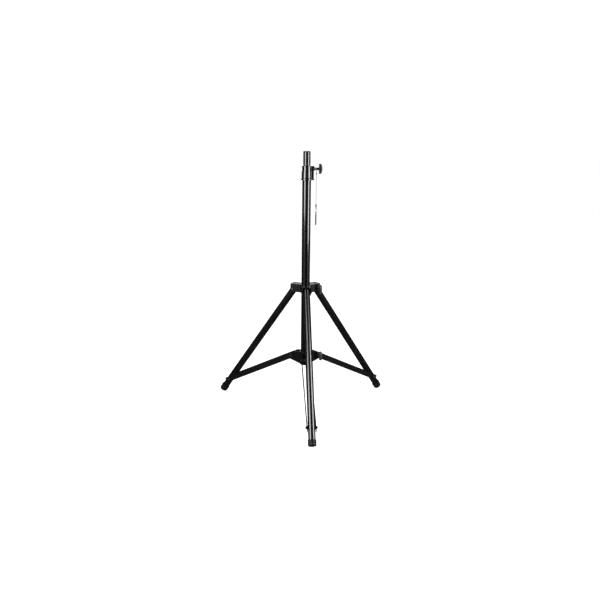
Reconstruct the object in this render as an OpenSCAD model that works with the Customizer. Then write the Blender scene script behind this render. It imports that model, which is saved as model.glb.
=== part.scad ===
// Tripod lighting stand: a two-section telescopic mast on three folding tube legs.
// Millimetres. The mast axis is Z and the floor is z = 0. The front leg points along -Y.
// The stand is drawn open, with the mast collapsed and every knob tight.

/* [Mast] */
// Outside diameter of the sliding pole, the spigot that lights are put on
pole_od = 35; // [28:0.5:42]
// Wall of the sliding pole
pole_wall = 2; // [1.5:0.1:3]
// Wall of the outer tube
outer_wall = 2; // [1.5:0.1:3]
// Wall of the plastic bush and guide between pole and outer tube
bush_wall = 1.42; // [1:0.02:2.5]
// Height of the top of the collapsed mast above the floor
mast_height = 1303; // [1150:1:1700]
// Length of pole that stands out of the collar
pole_exposed = 67; // [50:1:120]
// Height of the lower end of the outer tube above the floor
mast_foot = 235; // [210:1:290]
// Gap between the lower end of the pole and the lower end of the outer tube
pole_inset = 27; // [15:1:60]
// Flange of the plugs in the two ends of the mast
plug_flange = 3; // [2:0.5:6]
// Length of the guide sleeve at the pole's lower end
guide_length = 30; // [20:1:60]

/* [Collar] */
// Height of the clamping collar
collar_height = 69; // [56:1:90]
// Height of the rings at the collar's two ends
collar_ring_h = 9; // [6:0.5:12]
// Wall of the collar at its neck
collar_neck = 1.4; // [1:0.1:4]
// Wall of the collar at its top ring
collar_ring = 2.6; // [2:0.1:6]
// Wall of the collar at its lower band
collar_band = 3.6; // [2:0.1:8]
// Wall of the collar at its bottom flange
collar_flange = 6.3; // [4:0.1:10]
// How far the clamp block stands out from the outer tube
block_out = 13.7; // [11:0.1:20]
// Width of the clamp block
block_width = 22; // [18:1:30]
// Depth of the clamp screw's axis below the collar's top
clamp_drop = 16; // [14:0.5:24]

/* [Knobs] */
// Diameter of the clamp screws, pivot bolts and studs
bolt_d = 8; // [6:1:8]
// Length of the handle of a T-knob
knob_length = 48; // [36:1:60]
// Width of the handle of a T-knob
knob_width = 15; // [13:1:20]
// Thickness of the handle of a T-knob at its middle
knob_thick = 17; // [11:1:21]
// Length of a T-knob's neck
knob_neck = 10; // [8:1:16]
// Clear gap of bare screw between the collar's boss and its knob
lanyard_gap = 3.6; // [3:0.1:6]

/* [Safety pin] */
// Diameter of the safety pin
pin_d = 6; // [5:0.5:6.5]
// Length of the pin from its flattened eye to its tip
pin_length = 64; // [58:1:80]
// Distance between the pin holes along the pole
pin_pitch = 100; // [60:5:140]
// Number of pin holes in the pole
pin_holes = 8; // [3:1:8]

/* [Legs] */
// Outside diameter of a leg tube
leg_od = 35; // [26:0.5:42]
// Wall of a leg tube
leg_wall = 1.5; // [1.2:0.1:2.5]
// Angle between an open leg and the mast
leg_angle = 34.8; // [29:0.1:42]
// Distance from the outer tube's wall out to the leg pivots
leg_pivot_out = 40; // [36:0.5:55]
// Height of the leg pivots above the floor
leg_pivot_z = 625; // [520:1:760]
// Length of rubber foot on the leg
foot_length = 30; // [22:1:45]
// Wall of a rubber foot
foot_wall = 2.5; // [1.5:0.1:4]
// Thickness of the rubber under a leg tube's end
foot_base = 7.5; // [5:0.5:12]

/* [Hubs] */
// Height of the upper hub
upper_hub_h = 41; // [36:1:50]
// Wall of the upper hub's core
core_wall = 7; // [5:0.5:10]
// Thickness of the hub plates
plate = 3; // [2:0.5:4]
// Distance from a leg pivot out to the end of its bracket
bracket_end = 13; // [10:1:18]
// Height of the sliding lower hub
lower_hub_h = 66; // [56:1:90]
// Wall of the lower hub's sleeve
sleeve_wall = 4; // [3:0.5:6]
// Distance from the outer tube's wall out to the brace pivots
brace_pivot_out = 47; // [42:0.5:60]
// Height of the brace pivots above the lower hub's bottom
brace_pivot_up = 38.7; // [30:0.1:48]

/* [Braces] */
// Width of a brace bar
bar_width = 28; // [20:0.5:34]
// Thickness of a brace bar
bar_thick = 3; // [2:0.5:4]
// Length of bar past the rivet on the leg
bar_tail = 20; // [14:1:30]
// Distance from the floor end of the leg's axis up to the brace rivet
brace_up = 96.5; // [80:0.5:160]

/* [Clearances] */
// Radial gap of a running or sliding fit
run_gap = 0.05; // [0.03:0.01:0.08]
// Radial gap of the pole's slide in the mast
slide_gap = 0.08; // [0.05:0.01:0.1]
// Gap between pieces that move past each other
side_gap = 0.5; // [0.4:0.1:1]
// Gap between the lower hub and the stop that it stands on
stop_gap = 0.3; // [0.3:0.05:0.5]

/* [Hidden] */
$fn = 48;

// Round sizes of the mast, from the pole outwards.
pole_r = pole_od / 2;
pole_bore_r = pole_r - pole_wall;
tube_bore_r = pole_r + bush_wall + slide_gap;
tube_r = tube_bore_r + outer_wall;
bolt_r = bolt_d / 2;
hole_r = bolt_r + run_gap;
cut = 1; // how far a cutting shape runs past what it cuts

// Heights of the mast and its collar.
collar_top = mast_height - pole_exposed;
collar_z = collar_top - collar_height;
collar_lip = 7;
tube_top = collar_top - collar_lip - plug_flange;
pole_bottom = mast_foot + pole_inset;
groove_up = 4; // height of the setting groove above the collar
groove_depth = 0.5;
groove_h = 2;
clamp_z = collar_top - clamp_drop;
pin_z = collar_z + 20;
pin_hole_r = pin_d / 2 + 0.4;

// The clamp, outwards along +X: pad, screw, insert, boss, bare screw, knob.
pad_r = bolt_r + 1;
pad_hole_r = pad_r + 0.3;
pad_back = tube_r + 0.4;
clamp_travel = 2.5; // how far the screw backs out in two turns
insert_x = pad_back + clamp_travel + side_gap;
insert_r = bolt_r + 2.5;
block_x = tube_r + block_out;
boss_x = block_x + 10;
boss_r = bolt_r + 5.5;
boss_tip_r = bolt_r + 1.6;
collar_knob_x = boss_x + lanyard_gap;
knob_depth = knob_neck + 8;

// Leg pivots and the leg line.
leg_r = leg_od / 2;
leg_pivot_r = tube_r + leg_pivot_out;
leg_to_floor = leg_pivot_z / cos(leg_angle);
leg_bush_r = bolt_r + 2.5;
leg_top = leg_bush_r + 7.5;
leg_plug_h = 3;
leg_swing = norm([leg_r - leg_plug_h, leg_top + leg_plug_h]);
foot_r = leg_r + foot_wall;
foot_round = 6;
sole_wear = 1;
foot_ring_r = foot_r - foot_round;
foot_end = (leg_pivot_z + sole_wear - foot_round - foot_ring_r * sin(leg_angle)) / cos(leg_angle)
    + foot_round;
leg_end = foot_end - foot_base;
brace_at = leg_to_floor - brace_up;

// Upper hub.
core_r = tube_r + core_wall;
cheek_in = leg_r + 1;
cheek_out = cheek_in + plate;
leg_swing_gap = 1.6;
upper_hub_top = leg_pivot_z + leg_swing + leg_swing_gap + plate;
upper_hub_bottom = upper_hub_top - upper_hub_h;
bracket_r = leg_pivot_r + bracket_end;

// Lower hub and braces.
hub_bottom = mast_foot + stop_gap;
hub_top = hub_bottom + lower_hub_h;
hub_bush_wall = 1.5;
sleeve_in = tube_r + slide_gap + hub_bush_wall;
sleeve_r = sleeve_in + sleeve_wall;
brace_pivot_r = tube_r + brace_pivot_out;
brace_pivot_z = hub_bottom + brace_pivot_up;
bar_in = leg_r + 1.7;
bar_out = bar_in + bar_thick;
lug_out = bar_in - side_gap;
lug_in = lug_out - plate;
lug_end = brace_pivot_r + 8.5;
lug_flat = brace_pivot_r - 20;
joint_r = leg_pivot_r + brace_at * sin(leg_angle);
joint_z = leg_pivot_z - brace_at * cos(leg_angle);
brace_length = norm([joint_r - brace_pivot_r, joint_z - brace_pivot_z]);
brace_slope = atan2(brace_pivot_z - joint_z, joint_r - brace_pivot_r);
rivet_r = 8;

// Bolt heads, nuts and washers.
head_r = bolt_r + 2.8;
head_h = 5;
nut_h = 6.5;
washer_r = bolt_r + 5;
washer_h = 2;

// The lanyard's wire, as points [x, y, z] counted from the clamp screw's axis.
wire_d = 1.8;
wire_sides = 8;
lanyard_x = boss_x + lanyard_gap / 2;
ferrule_top = -20;
ferrule_h = 8;
lower_ferrule_top = -170;
lower_ferrule_h = 14;
strand = 1; // half the distance between two strands in a ferrule
pin_eye_z = -212;
LANYARD_ROUTE = [
    [0, -1, -28], [0, -1, -20], [0, -2.6, -16], [0, -5, -11], [0, -6.4, -6], [0, -6.6, -1],
    [0, -5, 3.4], [0, -2, 5.3], [0, 2, 5.3], [0, 5, 3.4], [0, 6.6, -1], [0, 6.4, -6],
    [0, 5, -11], [0, 2.6, -16], [0, 1, -20], [0, 1, -28], [0, 0.5, -36], [0, 0, -46],
    [0, 0, -70], [0, 0, -95], [0, 0, -120], [0, 0, -145], [-0.4, 0, -158], [-1, 0, -169],
    [-1, 0, -185], [-2.4, 0, -190], [-4, 0, -197], [-4.6, 0, -204], [-4, 0, -208.6],
    [-2.2, 0, -211.4], [0, 0, -212.4], [2.2, 0, -211.4], [4, 0, -208.6], [4.6, 0, -204],
    [4, 0, -197], [2.4, 0, -190], [1, 0, -185], [1, 0, -171]];

// Places.
module at_arm(k) {
    rotate([0, 0, 120 * k - 90]) children();
}
module along_leg() {
    translate([leg_pivot_r, 0, leg_pivot_z]) rotate([0, 180 - leg_angle, 0]) children();
}
module along_brace() {
    translate([brace_pivot_r, 0, brace_pivot_z]) rotate([0, brace_slope, 0]) children();
}
module at_clamp() {
    translate([0, 0, clamp_z]) rotate([0, 90, 0]) children();
}
module upright(thick) {
    rotate([90, 0, 0]) linear_extrude(height = thick, center = true) children();
}

// Shapes that repeat.
module rod(r, h) {
    cylinder(h = h, r = r);
}
module bore(r, h) {
    translate([0, 0, -cut]) cylinder(h = h + 2 * cut, r = r);
}
module ring(r_out, r_in, h) {
    difference() {
        rod(r_out, h);
        bore(r_in, h);
    }
}
module cross_hole(r, length) {
    rotate([90, 0, 0]) cylinder(h = length, r = r, center = true);
}
module hex(r, h) {
    cylinder(h = h, r = r, $fn = 6);
}
module acorn(r, h) {
    hex(r, h * 0.55);
    intersection() {
        translate([0, 0, h - r * 0.95]) sphere(r = r * 0.95);
        rod(r * 0.84, h);
    }
}

// A bolt along Y with its hex head at y = +half and an acorn nut at y = -half.
module pivot_bolt(half) {
    rotate([-90, 0, 0]) {
        translate([0, 0, -half - nut_h + 3]) rod(bolt_r, 2 * half + nut_h - 3 + head_h / 2);
        translate([0, 0, half]) hex(head_r, head_h);
    }
    rotate([90, 0, 0]) translate([0, 0, half]) difference() {
        acorn(head_r, nut_h);
        bore(hole_r, nut_h - 3);
    }
}

// A stud along Y with its hex head at y = +half; its thread ends inside a knob at y = -knob_at.
module pivot_stud(half, knob_at) {
    rotate([-90, 0, 0]) {
        translate([0, 0, -knob_at - knob_depth + 3]) rod(bolt_r, knob_at + knob_depth - 3 + half);
        translate([0, 0, half]) hex(head_r, head_h);
    }
}

// A T-knob on the Z axis: its neck starts at z = 0 and its domed handle lies along X.
module t_knob() {
    dome_rise = knob_thick * 0.35;
    dome_r = (pow(knob_length / 2, 2) + pow(dome_rise, 2)) / (2 * dome_rise);
    handle_top = knob_neck + knob_thick;
    neck_r = knob_width / 2 - 0.2;
    difference() {
        union() {
            rotate_extrude() polygon([[0, 0], [bolt_r + 1.8, 0], [bolt_r + 2, 1.5],
                [neck_r, knob_neck], [neck_r, knob_neck + 1], [0, knob_neck + 1]]);
            intersection() {
                translate([0, 0, knob_neck]) linear_extrude(height = knob_thick) {
                    square([knob_length - knob_width, knob_width], center = true);
                    for (side = [-1, 1])
                        translate([side * (knob_length - knob_width) / 2, 0])
                            circle(d = knob_width);
                }
                translate([0, 0, handle_top - dome_r]) rotate([90, 0, 0])
                    cylinder(h = 2 * knob_width, r = dome_r, center = true, $fn = 120);
                rotate([0, 90, 0]) translate([-knob_neck - knob_thick * 0.2, 0, 0])
                    cylinder(h = knob_length, r = knob_thick * 0.8, center = true);
            }
        }
        translate([0, 0, -cut]) rod(hole_r, knob_depth + cut);
    }
}

// Mast.
module outer_tube() {
    color("#16171a") difference() {
        translate([0, 0, mast_foot]) ring(tube_r, tube_bore_r, tube_top - mast_foot);
        at_clamp() rod(pad_hole_r, tube_r + cut);
        translate([0, 0, pin_z]) cross_hole(pin_hole_r, 2 * tube_r + 2 * cut);
    }
}
module mast_bottom_plug() {
    color("#1d1d1f") {
        translate([0, 0, mast_foot - plug_flange]) difference() {
            union() {
                rod(sleeve_in, plug_flange);
                rod(tube_bore_r, plug_flange + 14);
            }
            translate([0, 0, plug_flange]) rod(tube_bore_r - 3, 14 + cut);
        }
    }
}
module pole() {
    color("#17181b") difference() {
        translate([0, 0, pole_bottom])
            ring(pole_r, pole_bore_r, mast_height - plug_flange - pole_bottom);
        translate([0, 0, collar_top + groove_up]) difference() {
            rod(pole_r + cut, groove_h);
            bore(pole_r - groove_depth, groove_h);
        }
        for (i = [1 : pin_holes])
            if (pin_z - i * pin_pitch > pole_bottom + guide_length + pin_hole_r + cut)
                translate([0, 0, pin_z - i * pin_pitch])
                    cross_hole(pin_hole_r, pole_od + 2 * cut);
    }
}
module pole_guide() {
    color("#2a2a2c") translate([0, 0, pole_bottom])
        ring(tube_bore_r - slide_gap, pole_r, guide_length);
}
module pole_top_plug() {
    color("#1b1b1d") translate([0, 0, mast_height - plug_flange]) {
        rod(pole_r - 0.3, plug_flange);
        translate([0, 0, -12]) difference() {
            rod(pole_bore_r, 12 + cut);
            translate([0, 0, -cut]) rod(pole_bore_r - 3, 12 + cut);
        }
    }
}

// Collar and clamp.
module collar_profile() {
    neck_z = collar_height - collar_ring_h - 17;
    difference() {
        union() {
            square([tube_r + collar_flange - 1, collar_ring_h]);
            translate([0, 1]) square([tube_r + collar_flange, collar_ring_h - 2]);
            square([tube_r + collar_band, neck_z]);
            square([tube_r + collar_neck, collar_height - 1]);
            translate([0, collar_height - collar_ring_h])
                square([tube_r + collar_ring, collar_ring_h - 1]);
            square([tube_r + collar_ring - 1, collar_height]);
        }
        square([tube_r, tube_top - collar_z + plug_flange]);
        square([pole_r + side_gap, collar_height + cut]);
    }
}
module clamp_block() {
    rim = 7;
    translate([0, -block_width / 2, 0]) cube([block_x - 1.2, block_width, collar_height]);
    for (z = [0, collar_height - rim])
        translate([0, -block_width / 2, z]) cube([block_x, block_width, rim]);
    translate([0, 0, clamp_z - collar_z]) rotate([0, 90, 0]) {
        cylinder(h = boss_x, r1 = 0, r2 = boss_tip_r);
        translate([0, 0, block_x - 2]) cylinder(h = boss_x - block_x + 2, r1 = boss_r,
            r2 = boss_tip_r);
    }
}
module collar_body() {
    color("#121315") difference() {
        translate([0, 0, collar_z]) union() {
            rotate_extrude() collar_profile();
            difference() {
                clamp_block();
                bore(tube_r + cut, collar_height);
            }
        }
        at_clamp() {
            rod(pad_hole_r, insert_x);
            rod(insert_r, block_x - 3);
            rod(hole_r + 0.3, boss_x + cut);
        }
        translate([0, 0, pin_z]) cross_hole(pin_hole_r, 4 * tube_r);
        for (z = [collar_z + 8, collar_z + 34])
            translate([0, 0, z]) rotate([0, -90, 0]) rod(2.5, 2 * tube_r);
    }
}
module collar_bush() {
    top = tube_top + plug_flange;
    color("#3a3a3c") difference() {
        translate([0, 0, tube_top - 46]) {
            ring(tube_bore_r, pole_r + slide_gap, 46);
            translate([0, 0, 46]) ring(tube_r - 0.2, pole_r + slide_gap, top - tube_top);
        }
        at_clamp() rod(pad_hole_r, tube_r + cut);
        translate([0, 0, pin_z]) cross_hole(pin_hole_r, 2 * tube_r + 2 * cut);
    }
}
module collar_insert() {
    color("#b08d3e") at_clamp() translate([0, 0, insert_x])
        ring(insert_r, hole_r, block_x - 3 - insert_x);
}
module collar_set_screws() {
    color("#2e2f31") for (z = [collar_z + 8, collar_z + 34])
        translate([-tube_r, 0, z]) rotate([0, -90, 0]) difference() {
            rod(2.5, 3.4);
            translate([0, 0, 1.6]) hex(1.4, 3);
        }
}
module clamp_pad() {
    color("#b9975b") difference() {
        at_clamp() rod(pad_r, pad_back);
        translate([0, 0, clamp_z - 2 * pad_r]) rod(pole_r + run_gap, 4 * pad_r);
    }
}
module clamp_screw() {
    color("#8d9094") at_clamp() translate([0, 0, pad_back + run_gap])
        rod(bolt_r, collar_knob_x + knob_depth - 3 - pad_back);
}
module collar_knob() {
    color("#101113") at_clamp() translate([0, 0, collar_knob_x]) t_knob();
}

// Upper hub, fixed on the mast.
module upper_hub_core() {
    color("#141517") difference() {
        translate([0, 0, upper_hub_bottom]) ring(core_r, tube_r, upper_hub_h);
        for (k = [0 : 2])
            at_arm(k) translate([0, 0, upper_hub_bottom + 12]) rotate([0, -90, 0])
                rod(3, 2 * core_r);
    }
}
module upper_hub_screws() {
    color("#2e2f31") for (k = [0 : 2])
        at_arm(k) translate([-tube_r, 0, upper_hub_bottom + 12]) rotate([0, -90, 0])
            difference() {
                rod(3, core_wall - 0.5);
                translate([0, 0, core_wall - 3.5]) hex(1.8, 5);
            }
}
module upper_bracket(k) {
    color("#15171a") at_arm(k) difference() {
        union() {
            for (side = [-1, 1])
                translate([0, side * (cheek_in + plate / 2), 0]) upright(plate)
                    polygon([[core_r - 9, upper_hub_bottom], [bracket_r - 3, upper_hub_bottom],
                        [bracket_r, upper_hub_bottom + 3], [bracket_r, upper_hub_top],
                        [core_r - 9, upper_hub_top]]);
            translate([core_r - 9, -cheek_in, upper_hub_top - plate])
                cube([bracket_r - core_r + 9, 2 * cheek_in, plate]);
        }
        rod(core_r, 2 * leg_pivot_z);
        translate([leg_pivot_r, 0, leg_pivot_z]) cross_hole(hole_r, 4 * cheek_out);
    }
}
module upper_bolt(k) {
    color("#7d8084") at_arm(k) translate([leg_pivot_r, 0, leg_pivot_z]) pivot_bolt(cheek_out);
}
upper_knob_y = cheek_out + side_gap + washer_h + stop_gap;
module upper_stud() {
    color("#7d8084") at_arm(1) translate([leg_pivot_r, 0, leg_pivot_z])
        pivot_stud(cheek_out, upper_knob_y);
}
module upper_knob_washer() {
    color("#9a9da1") at_arm(1)
        translate([leg_pivot_r, -cheek_out - side_gap, leg_pivot_z]) rotate([90, 0, 0])
            ring(washer_r, hole_r, washer_h);
}
module upper_knob() {
    color("#3b3c3f") at_arm(1) translate([leg_pivot_r, -upper_knob_y, leg_pivot_z])
        rotate([90, 0, 0]) rotate([0, 0, 90]) t_knob();
}

// Lower hub, sliding on the mast.
module lower_hub_sleeve() {
    color("#131416") translate([0, 0, hub_bottom]) difference() {
        ring(sleeve_r, sleeve_in, lower_hub_h);
        for (z = [0, lower_hub_h - 1.5])
            translate([0, 0, z - (z == 0 ? cut : 0)]) rod(sleeve_in + 1.5, 1.5 + cut);
    }
}
module lower_hub_bushes() {
    bush_h = 20;
    color("#39393b") for (end = [0, 1])
        translate([0, 0, end == 0 ? hub_bottom : hub_top]) mirror([0, 0, end]) {
            ring(sleeve_in + 1.5, tube_r + slide_gap, 1.5);
            ring(sleeve_in, tube_r + slide_gap, bush_h);
        }
}
module lower_bracket(k) {
    slope_drop = (lug_end - lug_flat) * tan(brace_slope);
    color("#15171a") at_arm(k) difference() {
        for (side = [-1, 1])
            translate([0, side * (lug_in + plate / 2), 0]) upright(plate)
                polygon([[sleeve_r - 8, hub_bottom + 1], [lug_end - 6, brace_pivot_z - 22],
                    [lug_end, brace_pivot_z - 17], [lug_end, hub_top - 2 - slope_drop],
                    [lug_flat, hub_top - 2], [sleeve_r - 8, hub_top - 2]]);
        rod(sleeve_r, 2 * hub_top);
        translate([brace_pivot_r, 0, brace_pivot_z]) cross_hole(hole_r, 4 * bar_out);
    }
}
module lower_spacer() {
    rotate([90, 0, 0]) translate([0, 0, -lug_in]) ring(bolt_r + 2.5, hole_r, 2 * lug_in);
}
module lower_bolt(k) {
    color("#7d8084") at_arm(k) translate([brace_pivot_r, 0, brace_pivot_z]) {
        pivot_bolt(bar_out + side_gap);
        lower_spacer();
    }
}
lower_knob_y = bar_out + side_gap + washer_h + stop_gap;
module lower_stud() {
    color("#7d8084") at_arm(1) translate([brace_pivot_r, 0, brace_pivot_z]) {
        pivot_stud(bar_out + side_gap, lower_knob_y);
        lower_spacer();
    }
}
module lower_knob_washer() {
    color("#9a9da1") at_arm(1)
        translate([brace_pivot_r, -bar_out - side_gap, brace_pivot_z]) rotate([90, 0, 0])
            ring(washer_r, hole_r, washer_h);
}
module lower_knob() {
    color("#3b3c3f") at_arm(1) translate([brace_pivot_r, -lower_knob_y, brace_pivot_z])
        rotate([90, 0, 0]) rotate([0, 0, 90]) t_knob();
}

// Legs.
module leg_tube(k) {
    color("#17191c") at_arm(k) along_leg() difference() {
        translate([0, 0, -leg_top]) ring(leg_r, leg_r - leg_wall, leg_top + leg_end);
        cross_hole(leg_bush_r, leg_od + 2 * cut);
    }
}
module leg_plug(k) {
    color("#1b1b1d") at_arm(k) along_leg() translate([0, 0, -leg_top]) mirror([0, 0, 1]) {
        cylinder(h = leg_plug_h, r1 = leg_r, r2 = leg_r - leg_plug_h);
        translate([0, 0, -4]) rod(leg_r - leg_wall, 4 + cut);
    }
}
module leg_bush(k) {
    color("#9fa2a6") at_arm(k) along_leg() rotate([90, 0, 0])
        translate([0, 0, -cheek_in + side_gap])
            ring(leg_bush_r, hole_r, 2 * (cheek_in - side_gap));
}
module foot(k) {
    color("#0d0d0e") at_arm(k) difference() {
        along_leg() rotate_extrude() difference() {
            union() {
                translate([0, foot_end - foot_length])
                    square([foot_r, foot_length - foot_round]);
                translate([0, foot_end - foot_length]) square([foot_r + 0.8, 4]);
                translate([0, foot_end - foot_length]) square([foot_ring_r, foot_length]);
                translate([foot_ring_r, foot_end - foot_round]) intersection() {
                    circle(r = foot_round);
                    square(foot_round);
                }
            }
            square([leg_r, leg_end]);
        }
        translate([leg_pivot_r, -leg_to_floor / 2, -50])
            cube([leg_to_floor, leg_to_floor, 50]);
    }
}

// Braces. Side +1 is bar a and side -1 is bar b.
module brace_bar(k, side) {
    notch = 3;
    end = brace_length + bar_tail;
    color("#1a1d20") at_arm(k)
        translate([0, side * (bar_in + bar_thick / 2), 0]) along_brace() upright(bar_thick)
            difference() {
                union() {
                    circle(d = bar_width);
                    polygon([[0, -bar_width / 2], [end - notch, -bar_width / 2],
                        [end, -bar_width / 2 + notch], [end, bar_width / 2 - notch],
                        [end - notch, bar_width / 2], [0, bar_width / 2]]);
                }
                circle(r = hole_r);
                translate([brace_length, 0]) circle(r = hole_r);
            }
}
module brace_rivets(k) {
    color("#84878b") at_arm(k) along_brace() for (side = [-1, 1])
        translate([brace_length, 0, 0]) rotate([side * -90, 0, 0]) {
            translate([0, 0, leg_r + stop_gap]) rod(rivet_r, bar_in - leg_r - stop_gap);
            translate([0, 0, bar_in - cut]) rod(bolt_r, bar_thick + 2 * cut);
            translate([0, 0, bar_out]) rod(rivet_r, 1);
            translate([0, 0, bar_out + 0.5]) acorn(rivet_r - 0.6, nut_h);
        }
}

// Lanyard and safety pin.
function unit(v) = v / norm(v);
function heading(p, i) = unit(p[min(i + 1, len(p) - 1)] - p[max(i - 1, 0)]);
function square_to(n, t) = unit(n - (n * t) * t);
function carried(p, i, n) = i >= len(p) ? [] :
    let (m = square_to(n, heading(p, i))) concat([m], carried(p, i + 1, m));
function tube_ring(p, n, i) = let (t = heading(p, i), b = cross(t, n[i])) [
    for (s = [0 : wire_sides - 1]) let (a = 360 * s / wire_sides)
        p[i] + wire_d / 2 * (cos(a) * n[i] + sin(a) * b)];
module wire_tube(p) {
    n = carried(p, 0, [1, 0, 0]);
    last = len(p) - 1;
    points = [for (i = [0 : last]) each tube_ring(p, n, i)];
    sides = [for (i = [0 : last - 1], s = [0 : wire_sides - 1])
        let (a = i * wire_sides, b = (s + 1) % wire_sides)
            [a + s, a + wire_sides + s, a + wire_sides + b, a + b]];
    start_cap = [for (s = [0 : wire_sides - 1]) s];
    end_cap = [for (s = [wire_sides - 1 : -1 : 0]) last * wire_sides + s];
    polyhedron(points = points, faces = concat(sides, [start_cap, end_cap]), convexity = 6);
}
module at_lanyard() {
    translate([lanyard_x, 0, clamp_z]) children();
}
module lanyard_wire() {
    color("#c9ccd0") at_lanyard() wire_tube(LANYARD_ROUTE);
}
module ferrule(top, h, angle) {
    translate([0, 0, top - h]) rotate([0, 0, angle]) difference() {
        linear_extrude(height = h) {
            square([2 * strand, 4.4], center = true);
            for (side = [-1, 1])
                translate([side * strand, 0]) circle(d = 4.4);
        }
        for (side = [-1, 1])
            translate([side * strand, 0, 0]) bore(wire_d / 2 + 0.05, h);
    }
}
module lanyard_ferrules() {
    color("#4a4c50") at_lanyard() {
        ferrule(ferrule_top, ferrule_h, 90);
        ferrule(lower_ferrule_top, lower_ferrule_h, 0);
    }
}
module safety_pin() {
    eye_r = 1.8;
    eye_top = pin_eye_z + 4.2;
    flat_h = 10;
    tip = 3;
    color("#55585c") at_lanyard() difference() {
        union() {
            translate([0, 0, eye_top - flat_h]) intersection() {
                translate([-1.5, -3.7, 0]) cube([3, 7.4, flat_h]);
                rotate([0, 90, 0]) translate([-flat_h + 4.2, 0, 0])
                    cylinder(h = 20, r = flat_h, center = true);
            }
            translate([0, 0, eye_top - pin_length + tip])
                rod(pin_d / 2, pin_length - flat_h - tip + 1.5);
            translate([0, 0, eye_top - pin_length])
                cylinder(h = tip, r1 = pin_d / 2 - 1.6, r2 = pin_d / 2);
        }
        translate([0, 0, pin_eye_z]) rotate([0, 90, 0])
            cylinder(h = 20, r = eye_r, center = true);
    }
}

outer_tube();
mast_bottom_plug();
collar_body();
collar_bush();
collar_insert();
collar_set_screws();
upper_hub_core();
upper_hub_screws();
upper_bracket(0);  // upper_bracket_front
upper_bracket(1);  // upper_bracket_right
upper_bracket(2);  // upper_bracket_left
upper_bolt(0);  // upper_bolt_front
upper_bolt(2);  // upper_bolt_left
upper_stud();  // upper_stud_right
pole();
pole_guide();
pole_top_plug();
clamp_pad();
clamp_screw();
collar_knob();
upper_knob_washer();
upper_knob();
lower_hub_sleeve();
lower_hub_bushes();
lower_bracket(0);  // lower_bracket_front
lower_bracket(1);  // lower_bracket_right
lower_bracket(2);  // lower_bracket_left
lower_bolt(0);  // lower_bolt_front
lower_bolt(2);  // lower_bolt_left
lower_stud();  // lower_stud_right
lower_knob_washer();
lower_knob();
leg_tube(0);  // leg_tube_front
leg_tube(1);  // leg_tube_right
leg_tube(2);  // leg_tube_left
leg_plug(0);  // leg_plug_front
leg_plug(1);  // leg_plug_right
leg_plug(2);  // leg_plug_left
leg_bush(0);  // leg_bush_front
leg_bush(1);  // leg_bush_right
leg_bush(2);  // leg_bush_left
foot(0);  // foot_front
foot(1);  // foot_right
foot(2);  // foot_left
brace_bar(0, 1);  // brace_bar_front_a
brace_bar(0, -1);  // brace_bar_front_b
brace_bar(1, 1);  // brace_bar_right_a
brace_bar(1, -1);  // brace_bar_right_b
brace_bar(2, 1);  // brace_bar_left_a
brace_bar(2, -1);  // brace_bar_left_b
brace_rivets(0);  // brace_rivets_front
brace_rivets(1);  // brace_rivets_right
brace_rivets(2);  // brace_rivets_left
lanyard_wire();
lanyard_ferrules();
safety_pin();
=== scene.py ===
"""Looks for the tripod lighting stand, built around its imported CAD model.

The mast's axis is Z, the floor is z = 0 and the front leg points along -Y. Sections give sizes in
millimetres, as on a drawing, and forge() turns them into metres.
"""

import math

import bmesh
import bpy
import numpy as np
from mathutils import Matrix, Vector


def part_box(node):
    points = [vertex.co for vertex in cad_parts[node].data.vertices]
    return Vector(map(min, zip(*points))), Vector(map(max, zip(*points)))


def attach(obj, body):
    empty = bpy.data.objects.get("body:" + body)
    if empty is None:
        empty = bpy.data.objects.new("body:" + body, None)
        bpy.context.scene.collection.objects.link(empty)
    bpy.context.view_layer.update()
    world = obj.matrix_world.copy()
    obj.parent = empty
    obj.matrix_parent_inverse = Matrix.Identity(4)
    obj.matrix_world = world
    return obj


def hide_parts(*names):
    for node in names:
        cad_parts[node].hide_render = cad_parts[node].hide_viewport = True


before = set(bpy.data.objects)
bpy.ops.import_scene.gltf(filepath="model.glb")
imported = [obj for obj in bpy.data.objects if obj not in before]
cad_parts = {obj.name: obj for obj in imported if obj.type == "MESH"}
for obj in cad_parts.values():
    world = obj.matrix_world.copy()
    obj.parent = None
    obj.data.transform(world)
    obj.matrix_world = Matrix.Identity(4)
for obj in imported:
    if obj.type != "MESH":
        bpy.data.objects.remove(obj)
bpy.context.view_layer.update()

# ---- Camera ----
# A standing viewer's view of the whole stand, a little to the left of the front leg, from head
# height and looking slightly down. Angles are in radians.
camera_turn = 0.0785
camera_distance = 3.754
camera_height = 1.592
camera_heading = camera_turn - 0.0072
camera_tilt = 0.2658
camera_roll = 0.0086
scene = bpy.context.scene
lens = bpy.data.cameras.new("studio_camera")
lens.sensor_width = 36.0
lens.lens = 46.7
camera = bpy.data.objects.new("studio_camera", lens)
scene.collection.objects.link(camera)
scene.camera = camera
sight = Vector((
    math.sin(camera_heading) * math.cos(camera_tilt),
    math.cos(camera_heading) * math.cos(camera_tilt),
    -math.sin(camera_tilt),
))
level = Vector((math.cos(camera_heading), -math.sin(camera_heading), 0))
upright = level.cross(sight)
camera_right = level * math.cos(camera_roll) + upright * math.sin(camera_roll)
camera_up = upright * math.cos(camera_roll) - level * math.sin(camera_roll)
camera_axes = Matrix((camera_right, camera_up, -sight)).transposed()
camera.rotation_mode = "QUATERNION"
camera.rotation_quaternion = camera_axes.to_quaternion()
camera.location = (
    -camera_distance * math.sin(camera_turn),
    -camera_distance * math.cos(camera_turn),
    camera_height,
)

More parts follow.
